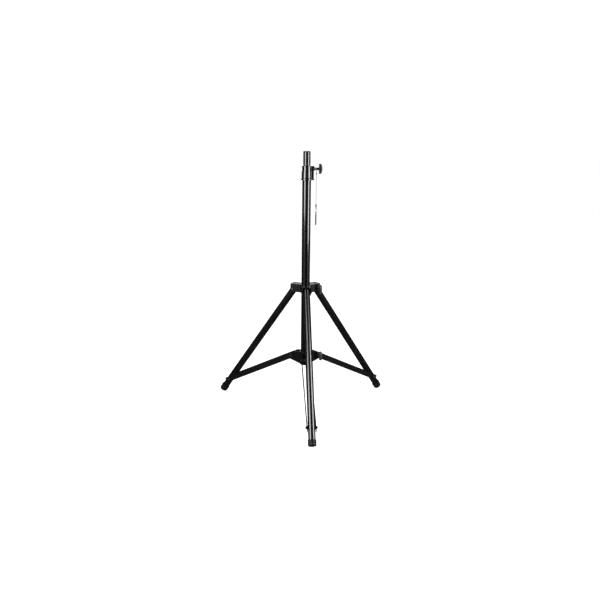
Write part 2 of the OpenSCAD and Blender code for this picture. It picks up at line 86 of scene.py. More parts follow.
# ---- Lanyard and safety pin ----
# A thin steel wire rope hangs from a loop round the bare clamp screw. Two pressed sleeves close
# its loops, and the lower loop carries the safety pin. The rope is six strands laid round a core.
TURN = 2 * math.pi
wire_r = 0.9
wire_strands = 6
wire_lay = 9.0
wire_columns = 24
wire_steps = 12
lanyard_at = np.array([46.5, 0.0, 1220.0])
lanyard_route = np.array([
    (0, -1, -28), (0, -1, -20), (0, -2.6, -16), (0, -5, -11), (0, -6.4, -6), (0, -6.6, -1),
    (0, -5, 3.4), (0, -2, 5.3), (0, 2, 5.3), (0, 5, 3.4), (0, 6.6, -1), (0, 6.4, -6),
    (0, 5, -11), (0, 2.6, -16), (0, 1, -20), (0, 1, -28), (0, 0.5, -36), (0, 0, -46),
    (0, 0, -70), (0, 0, -95), (0, 0, -120), (0, 0, -145), (-0.4, 0, -158), (-1, 0, -169),
    (-1, 0, -185), (-2.4, 0, -190), (-4, 0, -197), (-4.6, 0, -204), (-4, 0, -208.6),
    (-2.2, 0, -211.4), (0, 0, -212.4), (2.2, 0, -211.4), (4, 0, -208.6), (4.6, 0, -204),
    (4, 0, -197), (2.4, 0, -190), (1, 0, -185), (1, 0, -171),
]) + lanyard_at


def add(tree, kind, links=(), **values):
    """A new shader node. Values set its sockets or settings by name; links are (socket, output) pairs."""
    made = tree.nodes.new(kind)
    for key, value in values.items():
        socket = made.inputs.get(key.replace("_", " "))
        if socket is None:
            setattr(made, key, value)
        else:
            socket.default_value = value
    for socket, output in links:
        tree.links.new(output, made.inputs[socket])
    return made


def finish(name, colour, roughness, grain, height, spread=0.06, cloud=14.0,
           stretch=(1.0, 1.0, 1.0), bare=None, **sockets):
    """A surface finish. A coarse noise moves the colour and the roughness by spread, a fine noise of
    grain lumps a metre raises the surface by height, and bare is the colour that shows at rubbed edges."""
    material = bpy.data.materials.new(name)
    material.use_nodes = True
    tree = material.node_tree
    shader = tree.nodes["Principled BSDF"]
    for key, value in sockets.items():
        shader.inputs[key.replace("_", " ")].default_value = value
    place = add(tree, "ShaderNodeTexCoord").outputs["Object"]
    drawn = add(tree, "ShaderNodeMapping", [("Vector", place)], Scale=stretch).outputs["Vector"]
    clouds = add(tree, "ShaderNodeTexNoise", [("Vector", drawn)],
                 Scale=cloud, Detail=6.0, Roughness=0.62).outputs[0]
    lumps = add(tree, "ShaderNodeTexNoise", [("Vector", place)],
                Scale=grain, Detail=3.0, Roughness=0.55).outputs[0]
    tone = add(tree, "ShaderNodeMix", [("Factor", clouds)], data_type="RGBA")
    tone.inputs["A"].default_value = (*[c * (1 - 4 * spread) for c in colour], 1)
    tone.inputs["B"].default_value = (*[c * (1 + 5 * spread) for c in colour], 1)
    skin = tone.outputs["Result"]
    if bare:
        round_edge = add(tree, "ShaderNodeBevel", samples=4, Radius=0.0009).outputs["Normal"]
        flat = add(tree, "ShaderNodeNewGeometry").outputs["Normal"]
        turned = add(tree, "ShaderNodeVectorMath", [(0, round_edge), (1, flat)], operation="DOT_PRODUCT")
        edge = add(tree, "ShaderNodeMapRange", [("Value", turned.outputs["Value"])],
                   From_Min=0.985, From_Max=0.86, To_Min=0.0, To_Max=1.0).outputs[0]
        patchy = add(tree, "ShaderNodeMapRange", [("Value", lumps)],
                     From_Min=0.5, From_Max=0.64, To_Min=0.0, To_Max=0.75).outputs[0]
        rubbed = add(tree, "ShaderNodeMath", [(0, edge), (1, patchy)], operation="MULTIPLY").outputs[0]
        worn = add(tree, "ShaderNodeMix", [("Factor", rubbed), ("A", skin)], data_type="RGBA")
        worn.inputs["B"].default_value = (*bare, 1)
        skin = worn.outputs["Result"]
    tree.links.new(skin, shader.inputs["Base Color"])
    gloss = add(tree, "ShaderNodeMapRange", [("Value", clouds)], From_Min=0.3, From_Max=0.7,
                To_Min=max(roughness - spread, 0.02), To_Max=roughness + spread)
    tree.links.new(gloss.outputs[0], shader.inputs["Roughness"])
    bump = add(tree, "ShaderNodeBump", [("Height", lumps)], Strength=1.0, Distance=height)
    tree.links.new(bump.outputs["Normal"], shader.inputs["Normal"])
    return material


def settle(name, mesh, body, paint, stands_for=(), crease=35):
    """Shades the mesh smooth but for creases sharper than that many degrees, and puts it on its body."""
    mesh.polygons.foreach_set("use_smooth", np.ones(len(mesh.polygons), bool))
    mesh.set_sharp_from_angle(angle=math.radians(crease))
    mesh.materials.clear()
    mesh.materials.append(paint)
    piece = bpy.data.objects.new(name, mesh)
    scene.collection.objects.link(piece)
    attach(piece, body)
    if stands_for:
        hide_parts(*stands_for)
    return piece


def forge(name, shells, body, paint, stands_for=(), crease=35):
    """One mesh from grids of points. A grid's rows are closed rings, and its first and last rows meet
    each other or shrink to a point; in a (grid, kept) pair, the cells where kept is false are left out."""
    points, faces, start = [], [], 0
    for shell in shells:
        grid, kept = shell if isinstance(shell, tuple) else (shell, None)
        rows, columns = grid.shape[:2]
        here = start + np.arange(rows * columns).reshape(rows, columns)
        after = np.roll(here, -1, axis=1)
        cells = np.stack([here[:-1], after[:-1], after[1:], here[1:]], axis=-1)
        faces.append(cells.reshape(-1, 4) if kept is None else cells[kept])
        points.append(grid.reshape(-1, 3) / 1000)
        start += rows * columns
    mesh = bpy.data.meshes.new(name)
    mesh.from_pydata(np.concatenate(points).tolist(), [], np.concatenate(faces).tolist())
    joined = bmesh.new()
    joined.from_mesh(mesh)
    bmesh.ops.remove_doubles(joined, verts=joined.verts, dist=2e-6)
    bmesh.ops.recalc_face_normals(joined, faces=joined.faces)
    joined.to_mesh(mesh)
    joined.free()
    return settle(name, mesh, body, paint, stands_for, crease)


def softened(name, node, body, paint, width, crease=35):
    """A CAD solid's own surface, merged, with a small round of that width along its edges."""
    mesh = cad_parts[node].data.copy()
    joined = bmesh.new()
    joined.from_mesh(mesh)
    bmesh.ops.remove_doubles(joined, verts=joined.verts, dist=1e-6)
    bmesh.ops.dissolve_limit(joined, angle_limit=math.radians(0.5),
                             verts=joined.verts, edges=joined.edges)
    joined.to_mesh(mesh)
    joined.free()
    piece = settle(name, mesh, body, paint, [node], crease)
    edges = piece.modifiers.new("edges", "BEVEL")
    edges.width = width / 1000
    edges.segments = 2
    edges.limit_method = "ANGLE"
    edges.angle_limit = math.radians(40)
    edges.use_clamp_overlap = False
    edges.harden_normals = True
    return piece


def rope(route):
    """A strand bundle carried along a smooth line: each corner of the route is cut by a parabola between
    its neighbours' midpoints, and the radius rises and falls over the strands, which wind with the length."""
    middles = (route[1:] + route[:-1]) / 2
    t = np.linspace(0, 1, wire_steps, endpoint=False)[:, None]
    bends = ((1 - t) ** 2 * middles[:-1, None] + 2 * t * (1 - t) * route[1:-1, None]
             + t ** 2 * middles[1:, None]).reshape(-1, 3)
    line = np.concatenate([route[:1], bends, middles[-1:], route[-1:]])
    runs = np.concatenate([[0], np.cumsum(np.linalg.norm(np.diff(line, axis=0), axis=1))])
    count = int(runs[-1] / 0.7)
    even = np.linspace(0, runs[-1], count)
    line = np.stack([np.interp(even, runs, line[:, i]) for i in range(3)], axis=1)
    heading = np.gradient(line, axis=0)
    heading /= np.linalg.norm(heading, axis=1)[:, None]
    side = np.cross(heading, np.array([1.0, 1.0, 0.0]) / math.sqrt(2))
    side /= np.linalg.norm(side, axis=1)[:, None]
    other = np.cross(heading, side)
    around = np.arange(wire_columns) * TURN / wire_columns
    wound = around[None, :] - even[:, None] * TURN / wire_lay
    radius = wire_r * (0.84 + 0.16 * np.abs(np.cos(wound * wire_strands / 2)))
    grid = line[:, None] + radius[..., None] * (
        np.cos(around)[None, :, None] * side[:, None] + np.sin(around)[None, :, None] * other[:, None])
    ends = [np.repeat(line[[i]], wire_columns, axis=0)[None] for i in (0, -1)]
    return np.concatenate([ends[0], grid, ends[1]]), line, runs[-1]


def eased(outline, radius, steps=4):
    """An outline with its corners rounded: each is a parabola that starts and ends at most that far away."""
    p = np.array(outline, float)
    before, after = p[:-2] - p[1:-1], p[2:] - p[1:-1]
    reach = [np.linalg.norm(side, axis=1)[:, None] + 1e-9 for side in (before, after)]
    start, end = (p[1:-1] + side / size * np.minimum(radius, 0.45 * size)
                  for side, size in zip((before, after), reach))
    t = np.linspace(0, 1, steps)[:, None, None]
    bends = (1 - t) ** 2 * start + 2 * t * (1 - t) * p[1:-1] + t ** 2 * end
    return np.concatenate([p[:1], bends.transpose(1, 0, 2).reshape(-1, 2), p[-1:]])


def lathe(outline, start=(0, 0, 0), along=(0, 0, 1), columns=64, sides=0):
    """An outline of (radius, distance) turned about the axis from start; with sides, the radius stops at
    the flats of a bar with that many sides, whose corners are the outline's largest radius."""
    outline = np.array(outline, float)
    axis = np.array(along, float) / np.linalg.norm(along)
    across = np.cross(axis, (0, 0, 1) if abs(axis[2]) < 0.9 else (0, 1, 0))
    across /= np.linalg.norm(across)
    third = np.cross(axis, across)
    around = np.arange(columns) * TURN / columns
    radius = np.repeat(outline[:, :1], columns, axis=1)
    if sides:
        half = math.pi / sides
        flat = outline[:, 0].max() * math.cos(half) / np.cos((around + half) % (2 * half) - half)
        radius = np.minimum(radius, flat[None, :])
    return (np.array(start, float) + outline[:, 1, None, None] * axis
            + radius[..., None] * (np.cos(around)[:, None] * across + np.sin(around)[:, None] * third))


wire_steel = finish("wire_steel", (0.10, 0.102, 0.106), 0.36, 2500, 0.00005, cloud=60.0, Metallic=1.0)
sleeve_steel = finish("sleeve_steel", (0.014, 0.014, 0.015), 0.45, 1800, 0.00006, Metallic=0.5)
pin_steel = finish("pin_steel", (0.012, 0.012, 0.013), 0.45, 1400, 0.00005,
                   cloud=40.0, stretch=(1.0, 1.0, 0.12), Metallic=0.5)
wire_grid, wire_line, wire_length = rope(lanyard_route)
wire = forge("lanyard_rope", [wire_grid], "lanyard", wire_steel, ["lanyard_wire"], 60)


def pressed_sleeve(top, height, degrees):
    """An oval sleeve down from top: a circle pulled out to a stadium, pinched in by two press marks."""
    up = eased([(0, top), (2.2, top), (2.2, top - height), (0, top - height)], 0.7, 5)
    body = np.linspace(up[1:-1, 1].max(), up[1:-1, 1].min(), 24)
    rounding = np.clip(np.minimum(top - body, body - top + height) / 0.8, 0, 1)
    size = 2.2 * (0.72 + 0.28 * np.sqrt(rounding)) * (
        1 - 0.09 * np.sin((top - body) / height * TURN * 1.5) ** 2 * rounding)
    around = np.arange(32) * TURN / 32
    x = np.cos(around) * size[:, None] + np.sign(np.round(np.cos(around), 6))
    y = np.sin(around) * size[:, None]
    a = math.radians(degrees)
    side = np.stack([x * math.cos(a) - y * math.sin(a), x * math.sin(a) + y * math.cos(a),
                     np.repeat(body[:, None], 32, axis=1)], axis=-1)
    lids = [np.repeat(np.array([[[0, 0, z]]], float), 32, axis=1) for z in (body[0], body[-1])]
    return np.concatenate([lids[0], side, lids[1]]) + lanyard_at


sleeves = forge("lanyard_sleeves", [pressed_sleeve(-20, 8, 90), pressed_sleeve(-170, 14, 0)],
                "lanyard", sleeve_steel, ["lanyard_ferrules"])
pin = softened("retaining_pin", "safety_pin", "pin", pin_steel, 0.4)

# ---- Floor, white surround and lights ----
# A plain pale studio floor under a white surround. On each side stand a softbox, its dim spill and
# a high light aimed down at the hubs, and a low strip behind skims the hubs' tops.
floor_paint = bpy.data.materials.new("studio_floor")
floor_paint.use_nodes = True
floor_tree = floor_paint.node_tree
floor_shader = floor_tree.nodes["Principled BSDF"]
floor_shader.inputs["Roughness"].default_value = 0.9
floor_shader.inputs["Base Color"].default_value = (0.86, 0.86, 0.86, 1)
floor_shader.inputs["Emission Color"].default_value = (1, 1, 1, 1)
floor_shader.inputs["Emission Strength"].default_value = 0.97
floor_dark = add(floor_tree, "ShaderNodeBsdfDiffuse", Color=(0.03, 0.03, 0.03, 1))
floor_ray = add(floor_tree, "ShaderNodeLightPath").outputs["Is Glossy Ray"]
floor_mix = add(floor_tree, "ShaderNodeMixShader", [
    (0, floor_ray), (1, floor_shader.outputs[0]), (2, floor_dark.outputs[0])])
floor_tree.links.new(floor_mix.outputs[0], floor_tree.nodes["Material Output"].inputs["Surface"])
floor_mesh = bpy.data.meshes.new("floor")
floor_mesh.from_pydata([(-12, -6, 0), (12, -6, 0), (12, 18, 0), (-12, 18, 0)], [], [(0, 1, 2, 3)])
floor_mesh.materials.append(floor_paint)
floor = bpy.data.objects.new("floor", floor_mesh)
scene.collection.objects.link(floor)
surround = bpy.data.worlds.new("surround")
surround.use_nodes = True
scene.world = surround
sky = surround.node_tree
seen = add(sky, "ShaderNodeBackground", Color=(1, 1, 1, 1), Strength=1.05)
fill = add(sky, "ShaderNodeBackground", Color=(1, 1, 1, 1), Strength=0.05)
sky_ray = add(sky, "ShaderNodeLightPath").outputs["Is Camera Ray"]
sky_mix = add(sky, "ShaderNodeMixShader", [
    (0, sky_ray), (1, fill.outputs[0]), (2, seen.outputs[0])])
sky.links.new(sky_mix.outputs[0], sky.nodes["World Output"].inputs["Surface"])
scene.view_settings.view_transform = "Standard"


def soft_light(name, at, aim, width, height, glow):
    """A rectangular softbox at a point, turned to aim, whose face has that radiance."""
    lamp = bpy.data.lights.new(name, "AREA")
    lamp.shape = "RECTANGLE"
    lamp.size, lamp.size_y = width, height
    lamp.energy = glow * math.pi * width * height
    box = bpy.data.objects.new(name, lamp)
    scene.collection.objects.link(box)
    box.location = at
    box.rotation_mode = "QUATERNION"
    box.rotation_quaternion = (Vector(at) - Vector(aim)).to_track_quat("Z", "Y")
    box.visible_camera = False


soft_light("left_softbox", (-1.53, -1.27, 1.14), (0, 0, 1.14), 1.0, 0.92, 7.0)
soft_light("left_spill", (-1.56, -1.38, 1.25), (0, 0, 1.25), 1.3, 2.4, 0.35)
soft_light("left_high", (-1.55, -1.50, 2.15), (0, -0.35, 0.3), 1.1, 1.0, 3.2)
soft_light("right_softbox", (1.46, -1.0, 1.06), (0, 0, 1.06), 0.8, 1.08, 8.0)
soft_light("right_spill", (1.55, -0.99, 1.25), (0, 0, 1.25), 1.0, 2.4, 0.45)
soft_light("right_high", (1.6, -1.2, 2.15), (0, -0.35, 0.3), 0.7, 1.0, 1.7)
soft_light("back_strip", (-0.3, 3.2, 1.75), (0, 0, 0.7), 3.0, 0.5, 5.0)

# ---- Outer tube ----
# The mast's lower section, a drawn steel tube in gloss black stove enamel. It is drilled near its
# top for the clamp pad and for the safety pin, and the hubs and the collar are fixed over it.
gloss_black = finish("gloss_enamel", (0.0022, 0.0023, 0.0026), 0.15, 260, 0.000008,
                     spread=0.035, cloud=9.0, IOR=1.72, Coat_Weight=0.35, Coat_Roughness=0.09)


def bored_tube(outer_r, inner_r, bottom, top, holes=(), groove=None, cells=12, columns=96):
    """A tube on Z whose rings run up the outside and down the inside. Each hole (height, degrees, radius) is
    drilled square to the axis: cells by cells of the rings give way to a patch whose rows go from the rings'
    own square to the drill's circle outside, through the wall, and back out to the square inside."""
    lip, burr, patch_reach = 0.4, 0.3, 1.4
    levels = [np.array([bottom + lip, top - lip])]
    levels += [z + patch_reach * r * np.linspace(-1, 1, cells + 1) for z, _, r in holes]
    levels = np.unique(np.round(np.concatenate(levels), 6))
    outside = np.stack([np.full(len(levels), outer_r), levels], axis=1)
    if groove:
        low, high, depth = groove
        cut = [(outer_r, low), (outer_r - depth, low), (outer_r - depth, high), (outer_r, high)]
        outside = np.concatenate([outside, cut])
        outside = outside[np.argsort(outside[:, 1], kind="stable")]
    inside = np.stack([np.full(len(levels), inner_r), levels[::-1]], axis=1)
    profile = np.concatenate([
        outside, [(outer_r - lip, top), (inner_r + lip, top)],
        inside, [(inner_r + lip, bottom), (outer_r - lip, bottom)], outside[:1]])
    around = np.arange(columns) * TURN / columns
    grid = np.stack([profile[:, :1] * np.cos(around), profile[:, :1] * np.sin(around),
                     np.repeat(profile[:, 1:], columns, axis=1)], axis=-1)
    kept = np.ones((len(profile) - 1, columns), bool)
    middle = (profile[1:, 1] + profile[:-1, 1]) / 2
    wall = np.abs(np.diff(profile[:, 0])) < 1e-9
    shells = [(grid, kept)]
    edge = np.linspace(-1, 1, cells + 1)[:-1]
    square = np.concatenate([
        np.stack([edge, -np.ones(cells)], 1), np.stack([np.ones(cells), edge], 1),
        np.stack([-edge, np.ones(cells)], 1), np.stack([-np.ones(cells), -edge], 1)])
    swing = np.arctan2(square[:, 1], square[:, 0])
    for z, degrees, r in holes:
        centre = math.radians(degrees)
        first = round(centre / TURN * columns) - cells // 2
        rows = wall & (np.abs(middle - z) < patch_reach * r)
        kept[np.ix_(rows, (first + np.arange(cells)) % columns)] = False
        half = cells * math.pi / columns
        patch = []
        wide = r + burr
        for tube_r, drill, share in (
                (outer_r, wide, 1), (outer_r, wide, 0.5), (outer_r, wide, 0), (outer_r - burr, r, 0),
                (inner_r, r, 0), (inner_r, r, 0.5), (inner_r, r, 1)):
            drilled = np.arcsin(drill * np.cos(swing) / tube_r)
            angle = centre + share * half * square[:, 0] + (1 - share) * drilled
            height = z + share * patch_reach * r * square[:, 1] + (1 - share) * drill * np.sin(swing)
            patch.append(np.stack([tube_r * np.cos(angle), tube_r * np.sin(angle), height], axis=-1))
        shells.append(np.array(patch))
    return shells


outer_r, outer_bore = 21.0, 19.0
mast_bottom, mast_top = 235, 1226
clamp_z, clamp_hole_r = 1220, 5.3
pin_z, pin_hole_r = 1187, 3.4
forge("mast_tube", bored_tube(outer_r, outer_bore, mast_bottom, mast_top,
      [(clamp_z, 0, clamp_hole_r), (pin_z, 90, pin_hole_r), (pin_z, 270, pin_hole_r)]),
      "mast", gloss_black, ["outer_tube"])

# ---- Mast bottom plug ----
# A moulded nylon plug pressed into the tube's lower end. Its flange is wider than the tube, so it
# is the stop that the sliding hub stands on.
nylon = finish("black_nylon", (0.018, 0.018, 0.019), 0.46, 1500, 0.00004, cloud=30.0, IOR=1.53)
sleeve_in = 22.58
plug_bottom, plug_top, plug_bore = mast_bottom - 3, mast_bottom + 14, outer_bore - 3
forge("mast_plug", [lathe(eased([
    (0, plug_bottom), (sleeve_in, plug_bottom), (sleeve_in, mast_bottom), (outer_bore, mast_bottom),
    (outer_bore, plug_top), (plug_bore, plug_top), (plug_bore, mast_bottom), (0, mast_bottom)], 0.6),
    columns=96)], "mast", nylon, ["mast_bottom_plug"])

# ---- Pole ----
# The telescopic section that carries the light: a drawn tube in the same gloss black, rubbed by its
# bush where it slides, with a line cut round it for its lowest setting and pin holes every 100 mm.
rubbed_black = finish("rubbed_enamel", (0.0024, 0.0025, 0.0028), 0.16, 300, 0.000008, spread=0.05,
                      cloud=70.0, stretch=(1.0, 1.0, 0.03), IOR=1.72, Coat_Weight=0.3, Coat_Roughness=0.10)
pole_r, pole_bore = 17.5, 15.5
pole_bottom, pole_top = 262, 1300
pin_pitch, pin_holes = 100, 8
pole_holes = [(pin_z - pin_pitch * i, side, pin_hole_r)
              for i in range(1, pin_holes + 1) for side in (90, 270)]
setting_line = (1240, 1242, 0.5)
forge("pole_tube", bored_tube(pole_r, pole_bore, pole_bottom, pole_top, pole_holes, groove=setting_line),
      "pole", rubbed_black, ["pole"])
softened("pole_foot_sleeve", "pole_guide", "pole", nylon, 0.5)

# ---- Pole top plug ----
# A thin-flanged nylon plug pressed into the pole's top, with a shallow moulded dish in its face.
plug_r, plug_end, plug_skirt, dish = pole_r - 0.3, pole_top + 3, pole_top - 12, pole_top + 2.3
forge("pole_plug", [lathe(eased([
    (0, pole_top + 1), (12, pole_top + 1), (12, plug_skirt), (pole_bore, plug_skirt),
    (pole_bore, pole_top), (plug_r, pole_top), (plug_r, plug_end), (plug_r - 3, plug_end),
    (plug_r - 4, dish), (0, dish)], 0.5), columns=96)], "pole", nylon, ["pole_top_plug"])

# ---- Collar ----
# A die-cast clamping collar in semi-gloss black, fixed on the tube by two set screws. Its block on
# the right is threaded for the clamp screw, through a pressed-in brass insert, and ends in a boss.
cast_black = finish("cast_black", (0.0028, 0.0029, 0.0032), 0.15, 420, 0.000012,
                    spread=0.03, cloud=22.0, IOR=1.8, bare=(0.06, 0.06, 0.062), Coat_Weight=0.5,
                    Coat_Roughness=0.08)
black_oxide = finish("black_oxide", (0.045, 0.046, 0.05), 0.4, 900, 0.00003, cloud=80.0, Metallic=0.85)
brass = finish("brass", (0.62, 0.43, 0.17), 0.3, 700, 0.00003, cloud=60.0, Metallic=1.0)
softened("collar", "collar_body", "mast", cast_black, 0.55)
softened("collar_lining", "collar_bush", "mast", nylon, 0.3)
softened("threaded_insert", "collar_insert", "mast", brass, 0.3)
softened("collar_grub_screws", "collar_set_screws", "mast", black_oxide, 0.15)

# ---- Clamp: pad, screw and knob ----
# A zinc-plated screw pushes a brass pad against the pole. The lanyard's loop sits on the bare screw
# between boss and knob, and the knob is a moulded T-handle with a tapered neck.
zinc = finish("zinc_plate", (0.13, 0.132, 0.137), 0.38, 900, 0.00003, cloud=120.0, Metallic=1.0)
knob_plastic = finish("knob_black", (0.013, 0.013, 0.014), 0.34, 1100, 0.00006, cloud=26.0, IOR=1.5)
bolt_r = 4.0
knob_neck, knob_length, knob_width, knob_thick = 10.0, 48.0, 15.0, 17.0


def t_knob(start, along, handle):
    """A tapered neck turned on the screw's axis, and a handle across it: sections along the handle are
    ovals of power three whose width follows a bar with round ends and whose back is domed."""
    start, along, handle = (np.array(v, float) for v in (start, along, handle))
    across = np.cross(along, handle)
    neck_r = knob_width / 2 - 0.3
    neck = lathe(eased([(0, 0), (5.8, 0), (6.0, 1.5), (neck_r, knob_neck), (neck_r, knob_neck + 3),
                        (0, knob_neck + 3)], 0.5), start, along)
    sweep = np.linspace(-math.pi / 2, math.pi / 2, 49)
    run = knob_length / 2 * np.sin(sweep)
    past = np.clip(np.abs(run) - (knob_length - knob_width) / 2, 0, None)
    half_width = np.sqrt(np.clip((knob_width / 2) ** 2 - past ** 2, 0, None))
    half_width *= 1 - 0.07 * np.exp(-(run / 7.0) ** 2)
    dome = knob_thick * (1 - 0.33 * (2 * run / knob_length) ** 2)
    thick = dome * (1 - np.abs(np.sin(sweep)) ** 12) ** (1 / 6)
    around = np.arange(40) * TURN / 40
    oval = [np.sign(f(around)) * np.abs(f(around)) ** (2 / 3) for f in (np.cos, np.sin)]
    out = knob_neck + dome[:, None] / 2 + thick[:, None] / 2 * oval[1]
    wide = half_width[:, None] * oval[0]
    grip = start + run[:, None, None] * handle + out[..., None] * along + wide[..., None] * across
    return [neck, grip]


collar_axis = (1, 0, 0)
screw_in, screw_out, clamp_knob_x = 21.45, 63.35, 48.3
softened("brass_pad", "clamp_pad", "clamp", brass, 0.3)
forge("clamp_bolt", [lathe(eased([
    (0, screw_in), (bolt_r, screw_in), (bolt_r, screw_out), (0, screw_out)], 0.8),
    (0, 0, clamp_z), collar_axis)],
    "clamp", zinc, ["clamp_screw"])
forge("clamp_handle", t_knob((clamp_knob_x, 0, clamp_z), collar_axis, (0, 0, 1)),
      "clamp_knob", knob_plastic, ["collar_knob"], 50)

# ---- Upper hub ----
# A thick steel ring locked on the tube by three grub screws, with three folded steel brackets welded
# round it, one for each leg. The whole is powder coated, and its edges are rubbed.
powder_black = finish("powder_coat", (0.0024, 0.0025, 0.0027), 0.40, 1300, 0.00009,
                      cloud=20.0, IOR=1.36, bare=(0.08, 0.08, 0.083))
ARMS = {"front": 0, "right": 1, "left": 2}


def to_arm(points, arm):
    """Points drawn on the arm that points along +X, turned round the mast to that arm."""
    a = math.radians(120 * ARMS[arm] - 90)
    c, s = math.cos(a), math.sin(a)
    return np.stack([points[..., 0] * c - points[..., 1] * s, points[..., 0] * s + points[..., 1] * c,
                     points[..., 2]], axis=-1)


def weld(corner, low, high):
    """A fillet weld up a corner: a small round bead whose radius ripples as the puddles overlap."""
    rise = np.linspace(low, high, 70)
    end = np.sqrt(np.clip(1 - (2 * (rise - low) / (high - low) - 1) ** 16, 0, 1))
    size = 1.5 * end * (1 + 0.13 * np.sin(rise * TURN / 2.6))
    around = np.arange(14) * TURN / 14
    wave = 0.5 * np.sin(around)[None, :] * end[:, None]
    return np.stack([corner[0] + size[:, None] * np.cos(around), corner[1] + size[:, None] * np.sin(around),
                     rise[:, None] + wave], axis=-1)


hub_top, hub_bottom = (1000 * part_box("upper_hub_core")[i].z for i in (1, 0))
core_r = 28.0
cheek_in, cheek_out = 18.5, 21.5
forge("upper_ring", bored_tube(core_r, outer_r, hub_bottom, hub_top,
      [(hub_bottom + 12, 90 + 120 * k, 3.0) for k in range(3)], cells=6),
      "mast", powder_black, ["upper_hub_core"])
softened("upper_grub_screws", "upper_hub_screws", "mast", black_oxide, 0.15)
weld_at = math.sqrt(core_r ** 2 - cheek_out ** 2)
beads = []
for arm in ARMS:
    softened(f"leg_bracket_{arm}", f"upper_bracket_{arm}", "mast", powder_black, 0.7)
    for side in (-1, 1):
        corner = (weld_at + 0.3, side * (cheek_out + 0.2))
        beads.append(to_arm(weld(corner, hub_bottom + 2, hub_top - 2), arm))
forge("upper_welds", beads, "mast", powder_black, crease=60)

# ---- Pivot bolts, studs and nuts ----
# Each pivot is a zinc-plated hexagon bolt with a domed nut. The right-hand pivots have long studs
# instead, and a T-knob on a washer locks them.
head_r, head_h, nut_h = 6.8, 5.0, 6.5
stud_past = 17.8
leg_pivot = (61.0, 625.0)
brace_pivot = (68.0, 274.0)


def pivot_set(pivot, half, arm, stud_end=0.0, spacer=0.0):
    """Shank, hexagon head and either a domed nut or a long stud, all turned on the pivot's own axis."""
    x, z = pivot
    far = stud_end or half + nut_h - 3
    shank = lathe(eased([(0, -far), (bolt_r, -far), (bolt_r, half + 2), (0, half + 2)], 0.6),
                  (x, 0, z), (0, 1, 0), 40)
    head = lathe(eased([(0, 0), (5.9, 0), (head_r, 0.5), (head_r, head_h - 0.9), (5.4, head_h), (0, head_h)],
                       0.25), (x, half, z), (0, 1, 0), 72, 6)
    shells = [shank, head]
    if not stud_end:
        rise = np.linspace(0, math.pi / 2, 12)
        dome = [(5.6 * math.cos(a), nut_h * 0.5 + nut_h * 0.5 * math.sin(a)) for a in rise]
        nut = [(0, 0), (6.0, 0), (head_r, 0.5), (head_r, nut_h * 0.46), (6.0, nut_h * 0.52), *dome]
        shells.append(lathe(nut, (x, -half, z), (0, -1, 0), 72, 6))
    if spacer:
        shells.append(lathe(eased([(bolt_r, -spacer), (6.5, -spacer), (6.5, spacer), (bolt_r, spacer),
                                   (bolt_r, -spacer)], 0.4), (x, 0, z), (0, 1, 0), 48))
    return [to_arm(shell, arm) for shell in shells]


def lock_knob(pivot, washer_y, arm="right"):
    """The two shells of a T-knob on that pivot, with its handle upright, and the washer's one."""
    x, z = pivot
    washer = lathe(eased([(bolt_r + 0.1, 0), (9, 0), (9, 2), (bolt_r + 0.1, 2), (bolt_r + 0.1, 0)], 0.4),
                   (x, -washer_y, z), (0, -1, 0))
    knob = t_knob((x, -washer_y - 2.3, z), (0, -1, 0), (0, 0, 1))
    return to_arm(washer, arm), [to_arm(shell, arm) for shell in knob]


bar_in, bar_out = 19.2, 22.2
lug_in, lug_out = 15.7, 18.7
knob_grey = finish("knob_grey", (0.036, 0.037, 0.039), 0.36, 1000, 0.00006, cloud=26.0, IOR=1.5)
forge("leg_bolt_front", pivot_set(leg_pivot, cheek_out, "front"), "mast", zinc,
      ["upper_bolt_front"])
forge("leg_bolt_left", pivot_set(leg_pivot, cheek_out, "left"), "mast", zinc,
      ["upper_bolt_left"])
forge("leg_stud_right", pivot_set(leg_pivot, cheek_out, "right", cheek_out + stud_past), "mast",
      zinc, ["upper_stud_right"])
upper_washer, upper_handle = lock_knob(leg_pivot, cheek_out + 0.5)
forge("leg_lock_washer", [upper_washer], "upper_lock", zinc, ["upper_knob_washer"])
forge("leg_lock_handle", upper_handle, "upper_lock_knob", knob_grey, ["upper_knob"], 50)
for arm in ("front", "left"):
    forge(f"brace_bolt_{arm}", pivot_set(brace_pivot, bar_out + 0.5, arm, spacer=lug_in), "lower_hub",
          zinc, [f"lower_bolt_{arm}"])
forge("brace_stud_right", pivot_set(brace_pivot, bar_out + 0.5, "right", bar_out + stud_past, lug_in),
      "lower_hub", zinc, ["lower_stud_right"])
lower_washer, lower_handle = lock_knob(brace_pivot, bar_out + 0.5)
forge("brace_lock_washer", [lower_washer], "lower_lock", zinc, ["lower_knob_washer"])
forge("brace_lock_handle", lower_handle, "lower_lock_knob", knob_grey, ["lower_knob"], 50)

